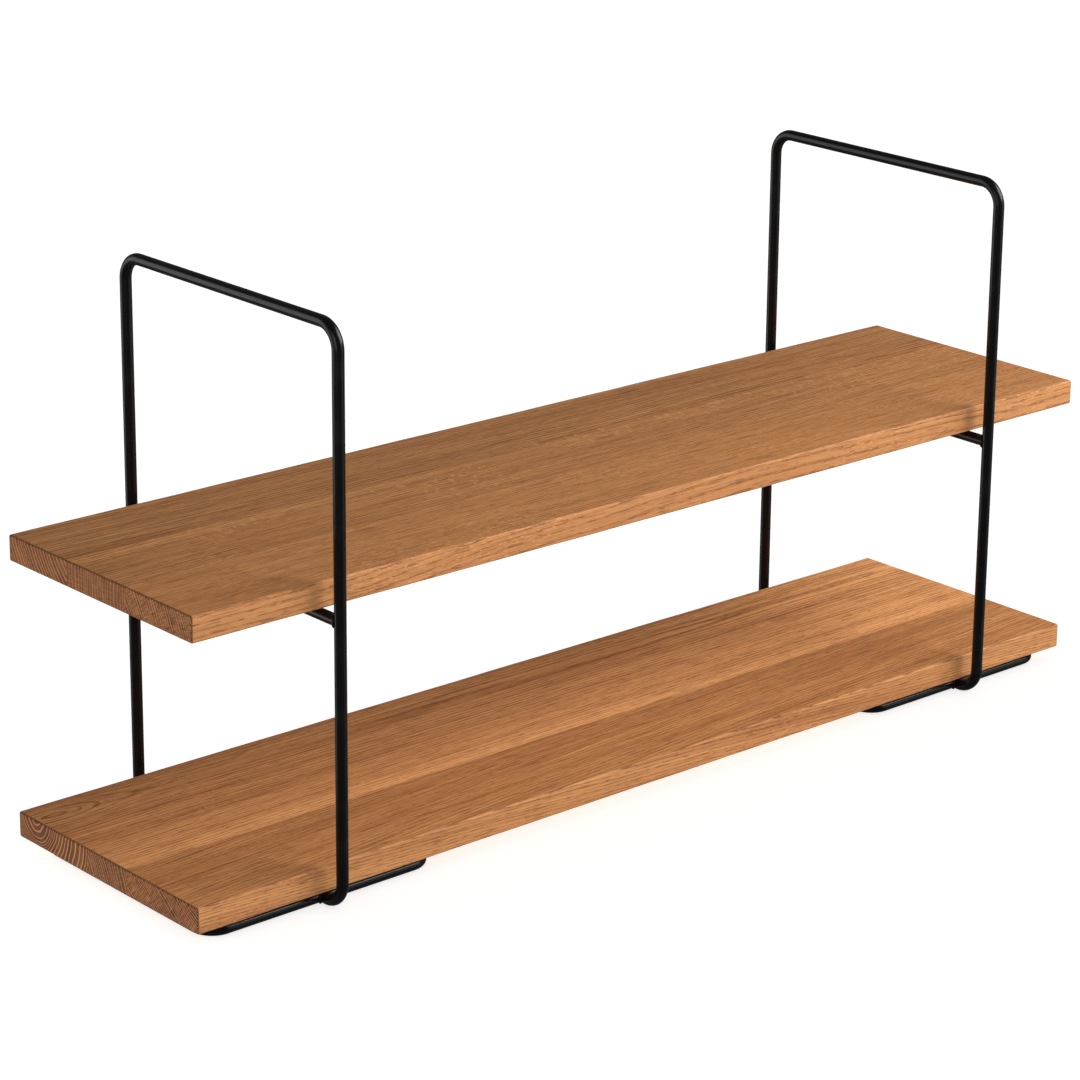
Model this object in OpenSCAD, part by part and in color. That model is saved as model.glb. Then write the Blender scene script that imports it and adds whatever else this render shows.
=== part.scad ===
// Wall shelf with brackets: two edge-glued oak boards carried by two bent round-rod brackets.
// Units are millimetres. The origin is the bottom centre of the shelf, X runs along the boards,
// +Y points to the wall and +Z is up.

/* [Boards] */
// Length of both boards
board_l = 800; // [500:10:1200]
// Depth of both boards, front edge to back edge
board_d = 200; // [150:5:300]
// Thickness of both boards
board_t = 18; // [16:1:30]
// Distance from the lower board's underside to the upper board's underside
board_pitch = 192; // [150:1:300]
// Chamfer along the boards' outer edges
arris = 1.5; // [0.5:0.1:3]
// Width of the upper board's back stave
upper_back_w = 66; // [40:1:80]
// Width of the upper board's middle stave
upper_middle_w = 64; // [20:1:80]
// Width of the lower board's back stave
lower_back_w = 80; // [40:1:90]
// Width of the lower board's middle stave
lower_middle_w = 44; // [20:1:80]

/* [Brackets] */
// Diameter of the bracket rod
rod_d = 8; // [6:0.5:10]
// Distance between the two bracket planes
bracket_spacing = 592; // [300:2:700]
// Outside height of a bracket
bracket_h = 390; // [330:1:600]
// Clear gap between a board's edge and the upright rods, front and back
board_gap = 8; // [2:0.5:20]
// Centreline radius of the hoop's bends
hoop_bend_r = 16; // [12:1:22]
// Reach of a foot rod's end from the bracket plane, to its centreline
foot_reach = 89; // [50:1:100]
// Distance from a board's edge in to the foot rod's front and back runs
foot_inset = 10; // [8:1:40]
// Centreline radius of the foot rod's bends
foot_bend_r = 14; // [8:1:24]
// Leg of the weld fillets between rods
weld_leg = 2.2; // [1:0.1:3]

/* [Saddles] */
// Thickness of the saddle between a rod and the board above it
saddle_pad = 2.5; // [1.5:0.1:5]
// Wall of the saddle around the rod
saddle_wall = 2.5; // [1.5:0.1:4]
// Thickness of the saddle's screw ears
saddle_ear_t = 3.5; // [3:0.1:6]
// Length of a saddle along its rod
saddle_l = 14; // [10:1:30]
// Distance of the saddles in front of and behind the boards' middle
saddle_offset = 60; // [20:1:70]
// Radial clearance of the rod in its saddle
saddle_fit = 0.05; // [0.02:0.01:0.3]
// Height of the saddle's lips above the lowest point of the rod
saddle_lip = 1; // [0.5:0.1:2]

/* [Saddle screws] */
// Shank diameter of a saddle screw
screw_d = 3; // [2.5:0.1:4]
// Length of a saddle screw, head included
screw_l = 16; // [12:1:18]
// Head diameter of a saddle screw
screw_head_d = 6.4; // [5:0.1:8]
// Land between a screw's head and the edges of its ear
screw_land = 1.4; // [0.8:0.1:3]
// Radial clearance of a screw in its hole
screw_fit = 0.05; // [0.02:0.01:0.2]

/* [Wall plates] */
// Width of a wall plate, from the upright's centre
plate_w = 27; // [20:1:40]
// Height of a wall plate
plate_h = 52; // [40:1:60]
// Thickness of a wall plate
plate_t = 3; // [2:0.5:4]
// Drop of the wall plate's top edge below the cross rod's axis
plate_drop = 8; // [6:1:30]
// Diameter of the wall screw holes
wall_hole_d = 5.5; // [4:0.1:7]
// Distance of a wall screw hole from the plate's top and bottom edges
wall_hole_edge = 10; // [8:1:15]

/* [Hidden] */

$fn = 64;
EPS = 0.01;
OAK = "#b47c4d";
OAK_DARK = "#9c663c";
OAK_LIGHT = "#c48d5c";
BLACK_COAT = "#1b1b1d";
BLACK_NYLON = "#2a2a2a";
BLACK_ZINC = "#3a3a3c";

LEFT = -1;
RIGHT = 1;
FRONT = -1;
BACK = 1;
TO_RIGHT = 0;
TO_LEFT = 180;

rod_r = rod_d / 2;
bracket_x = bracket_spacing / 2;
upright_y = board_d / 2 + board_gap + rod_r;
wall_y = upright_y + rod_r;
foot_y = board_d / 2 - foot_inset;
foot_z = rod_r;
top_z = bracket_h - rod_r;
lower_board_z = foot_z + rod_r + saddle_pad;
upper_board_z = lower_board_z + board_pitch;
cross_z = upper_board_z - saddle_pad - rod_r;

upper_seam_back = board_d / 2 - upper_back_w;
upper_seam_front = upper_seam_back - upper_middle_w;
lower_seam_back = board_d / 2 - lower_back_w;
lower_seam_front = lower_seam_back - lower_middle_w;

weld_half_w = 0.8 * rod_r;

screw_r = screw_d / 2;
screw_head_r = screw_head_d / 2;
screw_head_h = screw_head_r - screw_r;
screw_tip_h = screw_d;
screw_sink = 0.4;
head_z = 0.15;
recess_l = 0.55 * screw_head_d;
recess_w = 0.13 * screw_head_d;
recess_h = 1.2;
pilot_depth = head_z + screw_l - saddle_ear_t + 0.5;

saddle_r = rod_r + saddle_wall;
saddle_neck = 0.95;
saddle_corner_r = 3;
screw_x = saddle_r + screw_land + screw_head_r;
saddle_w = 2 * (screw_x + screw_head_r + screw_land);

plate_top_z = cross_z - plate_drop;
plate_x0 = 0.75 * rod_r;
plate_corner_r = 4;
hole_x = (rod_r + plate_w) / 2;

// ---- shapes used by several pieces ----

// A round rod along +Z from the origin.
module rod(length) {
    cylinder(r = rod_r, h = length);
}

// A quarter bend in the plane of X and Y: it starts at the origin towards +X and turns to +Y.
module quarter_bend(bend_r) {
    translate([0, bend_r, 0])
        rotate([0, 0, -90])
            rotate_extrude(angle = 90)
                translate([bend_r, 0]) circle(r = rod_r);
}

// A board blank with every outer edge chamfered, its underside at z = 0 and centred on the origin.
module board_blank() {
    intersection() {
        rotate([90, 0, 90]) linear_extrude(board_l, center = true)
            chamfered_rectangle(board_d, board_t);
        rotate([90, 0, 0]) linear_extrude(board_d, center = true)
            chamfered_rectangle(board_l, board_t);
        linear_extrude(board_t)
            translate([0, -board_d / 2]) chamfered_rectangle(board_l, board_d);
    }
}

// A rectangle with chamfered corners, centred on x and standing on y = 0.
module chamfered_rectangle(w, h) {
    polygon([
        [-w / 2 + arris, 0], [w / 2 - arris, 0], [w / 2, arris], [w / 2, h - arris],
        [w / 2 - arris, h], [-w / 2 + arris, h], [-w / 2, h - arris], [-w / 2, arris]
    ]);
}

// One stave of a board, cut from its blank between y0 and y1, with the saddle screws' pilot holes.
module stave(board_z, y0, y1) {
    translate([0, 0, board_z]) difference() {
        intersection() {
            board_blank();
            translate([-board_l / 2 - 1, y0, -1]) cube([board_l + 2, y1 - y0, board_t + 2]);
        }
        for (side = [LEFT, RIGHT], place = [FRONT, BACK], ear = [-1, 1])
            translate([side * bracket_x + ear * screw_x, place * saddle_offset, -EPS])
                cylinder(r = screw_r + screw_fit, h = pilot_depth + EPS);
    }
}

// ---- boards ----

module upper_stave_back() {
    color(OAK_DARK) stave(upper_board_z, upper_seam_back, board_d / 2 + 1);
}

module upper_stave_middle() {
    color(OAK) stave(upper_board_z, upper_seam_front, upper_seam_back);
}

module upper_stave_front() {
    color(OAK_LIGHT) stave(upper_board_z, -board_d / 2 - 1, upper_seam_front);
}

module lower_stave_back() {
    color(OAK) stave(lower_board_z, lower_seam_back, board_d / 2 + 1);
}

module lower_stave_middle() {
    color(OAK_LIGHT) stave(lower_board_z, lower_seam_front, lower_seam_back);
}

module lower_stave_front() {
    color(OAK_DARK) stave(lower_board_z, -board_d / 2 - 1, lower_seam_front);
}

// ---- bracket rods ----

// The closed hoop of one bracket, bent from round rod in the plane of Y and Z.
module hoop(side) {
    half_y = upright_y - hoop_bend_r;
    half_z = (top_z - foot_z) / 2 - hoop_bend_r;
    color(BLACK_COAT)
        translate([side * bracket_x, 0, (top_z + foot_z) / 2])
            rotate([90, 0, 90]) for (turn = [0, 180]) rotate([0, 0, turn]) {
                translate([half_y + hoop_bend_r, half_z, 0]) rotate([90, 0, 0]) rod(2 * half_z);
                translate([-half_y, half_z + hoop_bend_r, 0]) rotate([0, 90, 0]) rod(2 * half_y);
                translate([half_y, -half_z - hoop_bend_r, 0]) quarter_bend(hoop_bend_r);
                translate([half_y + hoop_bend_r, half_z, 0])
                    rotate([0, 0, 90]) quarter_bend(hoop_bend_r);
            }
}

module left_hoop() { hoop(LEFT); }

module right_hoop() { hoop(RIGHT); }

// The rod under the upper board, its ends coped to the hoop's uprights.
module cross_rod(side) {
    color(BLACK_COAT) translate([side * bracket_x, 0, cross_z]) difference() {
        rotate([90, 0, 0]) cylinder(r = rod_r, h = 2 * upright_y, center = true);
        for (place = [FRONT, BACK])
            translate([0, place * upright_y, 0]) cylinder(r = rod_r, h = 3 * rod_d, center = true);
    }
}

module left_cross_rod() { cross_rod(LEFT); }

module right_cross_rod() { cross_rod(RIGHT); }

// A U-shaped foot rod that lies flat beside the hoop's bottom run, its ends coped to that run.
module foot(side, turn) {
    run_x = foot_reach - foot_bend_r;
    run_y = foot_y - foot_bend_r;
    color(BLACK_COAT) translate([side * bracket_x, 0, foot_z]) rotate([0, 0, turn]) difference() {
        union() {
            for (place = [FRONT, BACK])
                translate([0, place * foot_y, 0]) rotate([0, 90, 0]) rod(run_x);
            translate([foot_reach, run_y, 0]) rotate([90, 0, 0]) rod(2 * run_y);
            translate([run_x, -foot_y, 0]) quarter_bend(foot_bend_r);
            translate([foot_reach, run_y, 0]) rotate([0, 0, 90]) quarter_bend(foot_bend_r);
        }
        rotate([90, 0, 0]) cylinder(r = rod_r, h = board_d, center = true);
    }
}

module left_outer_foot() { foot(LEFT, TO_LEFT); }

module left_inner_foot() { foot(LEFT, TO_RIGHT); }

module right_inner_foot() { foot(RIGHT, TO_LEFT); }

module right_outer_foot() { foot(RIGHT, TO_RIGHT); }

// ---- wall plates ----

// A plate welded beside a back upright, flush with the wall, with two holes for wall screws.
module wall_plate(side) {
    color(BLACK_COAT) translate([side * bracket_x, 0, 0]) mirror([side > 0 ? 1 : 0, 0, 0]) difference() {
        translate([0, wall_y, plate_top_z]) rotate([90, 0, 0]) linear_extrude(plate_t) plate_outline();
        translate([0, upright_y, plate_top_z - plate_h - 1]) rod(plate_h + 2);
        for (z = [plate_top_z - wall_hole_edge, plate_top_z - plate_h + wall_hole_edge])
            translate([hole_x, wall_y + 1, z]) rotate([90, 0, 0])
                cylinder(d = wall_hole_d, h = plate_t + 2);
    }
}

// The plate's outline, hanging down from its top edge, with its two free corners rounded.
module plate_outline() {
    translate([plate_x0, -plate_h]) square([plate_w - plate_x0 - plate_corner_r, plate_h]);
    translate([plate_x0, plate_corner_r - plate_h])
        square([plate_w - plate_x0, plate_h - 2 * plate_corner_r]);
    for (z = [-plate_corner_r, plate_corner_r - plate_h])
        translate([plate_w - plate_corner_r, z]) circle(r = plate_corner_r);
}

module left_wall_plate() { wall_plate(LEFT); }

module right_wall_plate() { wall_plate(RIGHT); }

// ---- welds ----

// The two fillets where a rod along +X butts against a rod along Z, above and below the first.
module weld_pair() {
    for (turn = [0, 180]) rotate([turn, 0, 0]) difference() {
        translate([0, -weld_half_w, 0])
            cube([rod_r + weld_leg, 2 * weld_half_w, rod_r + weld_leg]);
        cylinder(r = rod_r, h = 4 * rod_d, center = true);
        rotate([0, 90, 0]) cylinder(r = rod_r, h = 4 * rod_d, center = true);
        translate([rod_r + weld_leg, 0, rod_r + weld_leg]) rotate([90, 0, 0])
            cylinder(r = 1.15 * weld_leg, h = rod_d, center = true);
    }
}

// A fillet along the corner between a back upright and the front of its wall plate.
module plate_stitch(length) {
    corner_y = rod_r - plate_t;
    corner_x = sqrt(rod_r * rod_r - corner_y * corner_y);
    linear_extrude(length, center = true) difference() {
        polygon([
            [corner_x - weld_leg, corner_y], [corner_x + weld_leg, corner_y], [corner_x, corner_y - weld_leg]
        ]);
        circle(r = rod_r);
    }
}

// All the welds of one bracket: cross rod, feet and wall plate.
module bracket_welds(side) {
    color(BLACK_COAT) translate([side * bracket_x, 0, 0]) {
        for (place = [FRONT, BACK])
            translate([0, place * upright_y, cross_z]) rotate([0, 0, -place * 90]) weld_pair();
        for (place = [FRONT, BACK], turn = [TO_RIGHT, TO_LEFT])
            translate([0, place * foot_y, foot_z]) rotate([90, 0, turn]) weld_pair();
        for (share = [1 / 4, 3 / 4])
            translate([0, upright_y, plate_top_z - share * plate_h])
                mirror([side > 0 ? 1 : 0, 0, 0]) plate_stitch(plate_h / 4);
    }
}

module left_bracket_welds() { bracket_welds(LEFT); }

module right_bracket_welds() { bracket_welds(RIGHT); }

// ---- saddles and their screws ----

// The saddle's section across its rod, centred on the rod: two ears, a neck and a snap-on ring.
module saddle_section() {
    top = rod_r + saddle_pad;
    lip = rod_r - saddle_lip;
    difference() {
        union() {
            intersection() {
                circle(r = saddle_r);
                translate([-saddle_r, -lip]) square([2 * saddle_r, lip + rod_r / 2]);
            }
            translate([-saddle_neck * saddle_r, 0]) square([2 * saddle_neck * saddle_r, top]);
            translate([-saddle_w / 2, top - saddle_ear_t]) square([saddle_w, saddle_ear_t]);
        }
        circle(r = rod_r + saddle_fit);
    }
}

// A saddle's outline from above, its corners rounded.
module saddle_plan() {
    square([saddle_w - 2 * saddle_corner_r, saddle_l], center = true);
    square([saddle_w, saddle_l - 2 * saddle_corner_r], center = true);
    for (x = [-1, 1], y = [-1, 1])
        translate([x * (saddle_w / 2 - saddle_corner_r), y * (saddle_l / 2 - saddle_corner_r)])
            circle(r = saddle_corner_r);
}

// A snap-on saddle under a board, with two countersunk screw holes.
module saddle(side, place, board_z) {
    color(BLACK_NYLON)
        translate([side * bracket_x, place * saddle_offset, board_z - saddle_pad - rod_r])
            difference() {
                intersection() {
                    rotate([90, 0, 0]) linear_extrude(saddle_l, center = true) saddle_section();
                    linear_extrude(4 * rod_d, center = true) saddle_plan();
                }
                for (ear = [-1, 1])
                    translate([ear * screw_x, 0, rod_r + saddle_pad - saddle_ear_t])
                        screw_hole();
            }
}

// A countersunk clearance hole that opens downwards at z = 0.
module screw_hole() {
    rotate_extrude() polygon([
        [0, -1], [screw_head_r + screw_fit, -1], [screw_head_r + screw_fit, screw_sink],
        [screw_r + screw_fit, screw_sink + screw_head_h], [screw_r + screw_fit, 2 * saddle_ear_t],
        [0, 2 * saddle_ear_t]
    ]);
}

// A countersunk screw that points up, its head just inside the face at z = 0, with a cross recess.
module saddle_screw() {
    difference() {
        rotate_extrude() polygon([
            [0, head_z], [screw_head_r, head_z], [screw_head_r, screw_sink],
            [screw_r, screw_sink + screw_head_h], [screw_r, head_z + screw_l - screw_tip_h],
            [0, head_z + screw_l]
        ]);
        for (turn = [0, 90]) rotate([0, 0, turn])
            cube([recess_l, recess_w, 2 * (head_z + recess_h)], center = true);
    }
}

// The eight screws of one board's saddles.
module board_saddle_screws(board_z) {
    color(BLACK_ZINC)
        for (side = [LEFT, RIGHT], place = [FRONT, BACK], ear = [-1, 1])
            translate([side * bracket_x + ear * screw_x, place * saddle_offset, board_z - saddle_ear_t])
                saddle_screw();
}

module left_upper_front_saddle() { saddle(LEFT, FRONT, upper_board_z); }

module left_upper_back_saddle() { saddle(LEFT, BACK, upper_board_z); }

module right_upper_front_saddle() { saddle(RIGHT, FRONT, upper_board_z); }

module right_upper_back_saddle() { saddle(RIGHT, BACK, upper_board_z); }

module left_lower_front_saddle() { saddle(LEFT, FRONT, lower_board_z); }

module left_lower_back_saddle() { saddle(LEFT, BACK, lower_board_z); }

module right_lower_front_saddle() { saddle(RIGHT, FRONT, lower_board_z); }

module right_lower_back_saddle() { saddle(RIGHT, BACK, lower_board_z); }

module upper_saddle_screws() { board_saddle_screws(upper_board_z); }

module lower_saddle_screws() { board_saddle_screws(lower_board_z); }

upper_stave_back();
upper_stave_middle();
upper_stave_front();
lower_stave_back();
lower_stave_middle();
lower_stave_front();
left_hoop();
right_hoop();
left_cross_rod();
right_cross_rod();
left_outer_foot();
left_inner_foot();
right_inner_foot();
right_outer_foot();
left_wall_plate();
right_wall_plate();
left_bracket_welds();
right_bracket_welds();
left_upper_front_saddle();
left_upper_back_saddle();
right_upper_front_saddle();
right_upper_back_saddle();
left_lower_front_saddle();
left_lower_back_saddle();
right_lower_front_saddle();
right_lower_back_saddle();
upper_saddle_screws();
lower_saddle_screws();
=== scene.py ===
"""Looks of a two-tier wall shelf: oiled oak boards carried by a pair of bent black rod brackets.

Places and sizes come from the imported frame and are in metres: X runs along the boards, +Y points to
the wall and +Z is up. Patterns inside materials are worked out in millimetres.
"""

from __future__ import annotations

import logging
import math
from collections.abc import Sequence
from dataclasses import dataclass
from enum import Enum

import bmesh
import bpy
import numpy as np
from mathutils import Matrix, Vector

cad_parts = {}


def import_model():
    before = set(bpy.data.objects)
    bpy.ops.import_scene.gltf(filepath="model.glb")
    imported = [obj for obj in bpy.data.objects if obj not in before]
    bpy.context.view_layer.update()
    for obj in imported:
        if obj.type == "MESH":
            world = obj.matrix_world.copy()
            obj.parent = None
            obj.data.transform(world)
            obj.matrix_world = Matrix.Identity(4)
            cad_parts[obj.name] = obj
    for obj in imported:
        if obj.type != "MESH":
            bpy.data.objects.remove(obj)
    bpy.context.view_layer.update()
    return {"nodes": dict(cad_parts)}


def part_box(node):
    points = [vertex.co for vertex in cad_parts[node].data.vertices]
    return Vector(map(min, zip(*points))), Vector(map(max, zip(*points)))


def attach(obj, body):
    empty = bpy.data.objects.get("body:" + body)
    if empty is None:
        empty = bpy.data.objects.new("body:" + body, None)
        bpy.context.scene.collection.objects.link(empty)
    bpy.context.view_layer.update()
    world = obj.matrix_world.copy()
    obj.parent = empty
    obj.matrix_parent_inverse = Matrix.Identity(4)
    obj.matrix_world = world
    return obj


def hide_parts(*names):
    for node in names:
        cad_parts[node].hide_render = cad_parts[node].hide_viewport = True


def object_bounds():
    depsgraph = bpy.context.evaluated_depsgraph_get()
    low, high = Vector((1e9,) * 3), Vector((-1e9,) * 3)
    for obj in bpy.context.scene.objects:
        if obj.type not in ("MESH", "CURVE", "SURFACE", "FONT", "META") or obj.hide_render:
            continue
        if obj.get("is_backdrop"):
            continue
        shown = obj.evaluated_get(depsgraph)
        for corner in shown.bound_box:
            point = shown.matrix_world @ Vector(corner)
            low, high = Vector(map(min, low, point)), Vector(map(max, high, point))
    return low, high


LOG = logging.getLogger("shelf")
MM = 0.001
BODY = "root"
Colour = tuple[float, float, float]
Place = tuple[float, float, float]


class Side(Enum):
    """The bracket that a piece belongs to, by the sign of its place along the boards."""

    LEFT = -1
    RIGHT = 1


class Way(Enum):
    """A direction along X, from a bracket's plane outwards or inwards."""

    OUTER = 1
    INNER = -1


# --------------------------------------------------------------------------------------------------
# Shader maths
# --------------------------------------------------------------------------------------------------


class Signal:
    """One shader output that Python's operators work on: each operator adds one Math node."""

    def __init__(self, shader: Shader, socket: bpy.types.NodeSocket) -> None:
        """Wraps a socket.

        Args:
            shader: the material that the socket's node is in.
            socket: the output socket.
        """
        self.shader = shader
        self.socket = socket

    def maths(self, operation: str, *others: Signal | float, clamp: bool = False) -> Signal:
        """Adds one Math node with this signal first.

        Args:
            operation: the Math node's operation.
            others: the second and third values.
            clamp: whether the result is held between 0 and 1.

        Returns:
            The node's result.
        """
        return self.shader.maths(operation, self, *others, clamp=clamp)

    def __add__(self, other: Signal | float) -> Signal:
        """self + other."""
        return self.maths("ADD", other)

    __radd__ = __add__

    def __sub__(self, other: Signal | float) -> Signal:
        """self - other."""
        return self.maths("SUBTRACT", other)

    def __rsub__(self, other: Signal | float) -> Signal:
        """other - self."""
        return self.shader.maths("SUBTRACT", other, self)

    def __mul__(self, other: Signal | float) -> Signal:
        """self * other."""
        return self.maths("MULTIPLY", other)

    __rmul__ = __mul__

    def __truediv__(self, other: Signal | float) -> Signal:
        """self / other."""
        return self.maths("DIVIDE", other)

    def __abs__(self) -> Signal:
        """The size of the signal."""
        return self.maths("ABSOLUTE")

    def fraction(self) -> Signal:
        """The part after the decimal point."""
        return self.maths("FRACT")

    def root(self) -> Signal:
        """The square root."""
        return self.maths("SQRT")

    def clamped(self) -> Signal:
        """The signal held between 0 and 1."""
        return self.maths("ADD", 0.0, clamp=True)

    def step(self, low: Signal | float, high: Signal | float) -> Signal:
        """A smooth step.

        Args:
            low: the value at which the step starts.
            high: the value at which it ends.

        Returns:
            0 below low, 1 above high, and a smooth curve between them.
        """
        node = self.shader.node(
            "ShaderNodeMapRange",
            {"interpolation_type": "SMOOTHSTEP"},
            {"Value": self, "From Min": low, "From Max": high},
        )
        return Signal(self.shader, node.outputs["Result"])


class Shader:
    """A material under construction, with one Principled shader at its end."""

    def __init__(self, name: str) -> None:
        """Makes an empty material.

        Args:
            name: the material's name.
        """
        self.material = bpy.data.materials.new(name)
        self.material.use_nodes = True
        self.tree = self.material.node_tree
        self.tree.nodes.clear()
        self.surface = self.tree.nodes.new("ShaderNodeBsdfPrincipled")
        output = self.tree.nodes.new("ShaderNodeOutputMaterial")
        self.tree.links.new(self.surface.outputs["BSDF"], output.inputs["Surface"])

    def node(
        self, kind: str, settings: dict[str, object], values: dict[str | int, object]
    ) -> bpy.types.Node:
        """Adds one node.

        Args:
            kind: the node's type.
            settings: its own settings, set first.
            values: for each input, by name or place, a signal, a socket or a plain value.

        Returns:
            The node.
        """
        made = self.tree.nodes.new(kind)
        for key, value in settings.items():
            setattr(made, key, value)
        for key, value in values.items():
            self.feed(made.inputs[key], value)
        return made

    def feed(self, socket: bpy.types.NodeSocket, value: object) -> None:
        """Links or sets one input.

        Args:
            socket: the input.
            value: a signal or socket to link, or a plain value.
        """
        source = value.socket if isinstance(value, Signal) else value
        if isinstance(source, bpy.types.NodeSocket):
            self.tree.links.new(source, socket)
        elif isinstance(source, tuple) and len(source) == 3 and socket.type == "RGBA":
            socket.default_value = (*source, 1.0)
        else:
            socket.default_value = source

    def maths(self, operation: str, *values: Signal | float, clamp: bool = False) -> Signal:
        """Adds one Math node.

        Args:
            operation: its operation.
            values: its inputs in order.
            clamp: whether the result is held between 0 and 1.

        Returns:
            The result.
        """
        made = self.node(
            "ShaderNodeMath",
            {"operation": operation, "use_clamp": clamp},
            dict(enumerate(values)),
        )
        return Signal(self, made.outputs[0])

    def place_mm(self, centre: Sequence[float] = (0.0, 0.0, 0.0)) -> tuple[Signal, Signal, Signal]:
        """The point being shaded, in millimetres from a centre given in metres.

        Args:
            centre: the centre, in metres.

        Returns:
            Its X, Y and Z.
        """
        coordinates = self.node("ShaderNodeTexCoord", {}, {})
        moved = self.node(
            "ShaderNodeMapping",
            {"vector_type": "POINT"},
            {
                "Vector": coordinates.outputs["Object"],
                "Location": tuple(-value / MM for value in centre),
                "Scale": (1 / MM, 1 / MM, 1 / MM),
            },
        )
        split = self.node("ShaderNodeSeparateXYZ", {}, {"Vector": moved.outputs["Vector"]})
        return tuple(Signal(self, split.outputs[axis]) for axis in "XYZ")

    def vector(self, x: Signal | float, y: Signal | float, z: Signal | float) -> Signal:
        """Three signals as one vector."""
        made = self.node("ShaderNodeCombineXYZ", {}, {"X": x, "Y": y, "Z": z})
        return Signal(self, made.outputs["Vector"])

    def noise(self, vector: Signal, detail: float = 0.0, roughness: float = 0.5) -> Signal:
        """Soft noise whose grains are about one unit of the vector across.

        Args:
            vector: where it is read.
            detail: the number of finer octaves.
            roughness: how strong the finer octaves are.

        Returns:
            A value around one half.
        """
        made = self.node(
            "ShaderNodeTexNoise",
            {"noise_dimensions": "3D"},
            {"Vector": vector, "Scale": 1.0, "Detail": detail, "Roughness": roughness},
        )
        return Signal(self, made.outputs[0])

    def swing(self, vector: Signal, detail: float = 0.0, roughness: float = 0.5) -> Signal:
        """The same noise, moved and stretched to swing between about -1 and 1.

        Args:
            vector: where it is read.
            detail: the number of finer octaves.
            roughness: how strong the finer octaves are.

        Returns:
            A value around zero.
        """
        return (self.noise(vector, detail, roughness) - 0.5) * 3.6

    def mix(
        self, share: Signal | float, first: object, second: object, blend: str = "MIX"
    ) -> Signal:
        """Mixes two colours.

        Args:
            share: how much of the second colour is used.
            first: the colour at 0.
            second: the colour at 1.
            blend: the Mix node's blend type.

        Returns:
            The mixed colour.
        """
        made = self.node(
            "ShaderNodeMix",
            {"data_type": "RGBA", "blend_type": blend, "clamp_factor": True},
            {0: share, 6: first, 7: second},
        )
        return Signal(self, made.outputs[2])

    def scaled(self, colour: Signal, amount: Signal) -> Signal:
        """A colour made lighter or darker.

        Args:
            colour: the colour.
            amount: what each channel is multiplied by.

        Returns:
            The scaled colour.
        """
        made = self.node("ShaderNodeVectorMath", {"operation": "SCALE"}, {0: colour, 3: amount})
        return Signal(self, made.outputs["Vector"])

    def bump(self, height: Signal, depth_mm: float, strength: float = 1.0) -> Signal:
        """A normal bent by a height.

        Args:
            height: the height, where 1 stands for depth_mm.
            depth_mm: the relief's depth in millimetres.
            strength: how much of the bend is used.

        Returns:
            The bent normal.
        """
        made = self.node(
            "ShaderNodeBump", {}, {"Strength": strength, "Distance": depth_mm * MM, "Height": height}
        )
        return Signal(self, made.outputs["Normal"])

    def finish(self, **sockets: object) -> bpy.types.Material:
        """Feeds the Principled shader.

        Args:
            sockets: values by socket name, with underscores for spaces.

        Returns:
            The finished material.
        """
        for name, value in sockets.items():
            self.feed(self.surface.inputs[name.replace("_", " ")], value)
        return self.material


class Sky(Shader):
    """The surroundings under construction, with one Background shader at their end."""

    def __init__(self, name: str) -> None:
        """Makes plain surroundings.

        Args:
            name: their name.
        """
        self.world = bpy.data.worlds.new(name)
        self.world.use_nodes = True
        self.tree = self.world.node_tree
        self.surface = self.tree.nodes["Background"]

    def patch(self, azimuth: float, elevation: float, reach: float, edge: float) -> Signal:
        """A soft round patch of the sky.

        Args:
            azimuth: its direction round the shelf, in degrees.
            elevation: its height, in degrees.
            reach: how far the patch reaches from its middle, in degrees.
            edge: the width of its soft edge, in degrees.

        Returns:
            1 inside the patch and 0 outside it.
        """
        looking = self.node("ShaderNodeTexCoord", {}, {}).outputs["Generated"]
        middle = tuple(direction(azimuth, elevation))
        facing = self.node("ShaderNodeVectorMath", {"operation": "DOT_PRODUCT"}, {0: looking, 1: middle})
        outer, inner = math.radians(reach), math.radians(reach - edge)
        return Signal(self, facing.outputs["Value"]).step(math.cos(outer), math.cos(inner))

    def light(self, to_camera: float, to_rest: Signal) -> bpy.types.World:
        """Sets how bright the surroundings are.

        Args:
            to_camera: how bright they look to the camera.
            to_rest: how bright they are as a light.

        Returns:
            The finished surroundings.
        """
        seen = Signal(self, self.node("ShaderNodeLightPath", {}, {}).outputs["Is Camera Ray"])
        self.feed(self.surface.inputs["Color"], (1.0, 1.0, 1.0))
        self.feed(self.surface.inputs["Strength"], to_rest + seen * (to_camera - to_rest))
        return self.world


# --------------------------------------------------------------------------------------------------
# Finishes
# --------------------------------------------------------------------------------------------------


@dataclass(frozen=True)
class Swelling:
    """A long soft place in the wood: a small knot that the rings bend round, or a pale streak.

    Attributes:
        x: its place along the stave from the stave's middle, in mm.
        y: its place behind the stave's centre, in mm.
        z: its place above the stave's centre, in mm.
        length: half its length along the grain, in mm.
        width: half its width, in mm.
        lift: its strength: for a knot, how far it pushes the rings out, in mm.
    """

    x: float
    y: float
    z: float
    length: float
    width: float
    lift: float

    def bell(self, x: Signal, y: Signal, z: Signal) -> Signal:
        """The swelling's strength: a bell curve round its middle.

        Args:
            x: place along the grain, in mm.
            y: place across it.
            z: place through it.

        Returns:
            Its lift in the middle, fading to 0 outside it.
        """
        dx, dy, dz = (x - self.x) / self.length, (y - self.y) / self.width, (z - self.z) / self.width
        return (dx * dx + dy * dy + dz * dz).maths("MULTIPLY", -1.0).maths("EXPONENT") * self.lift


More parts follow.
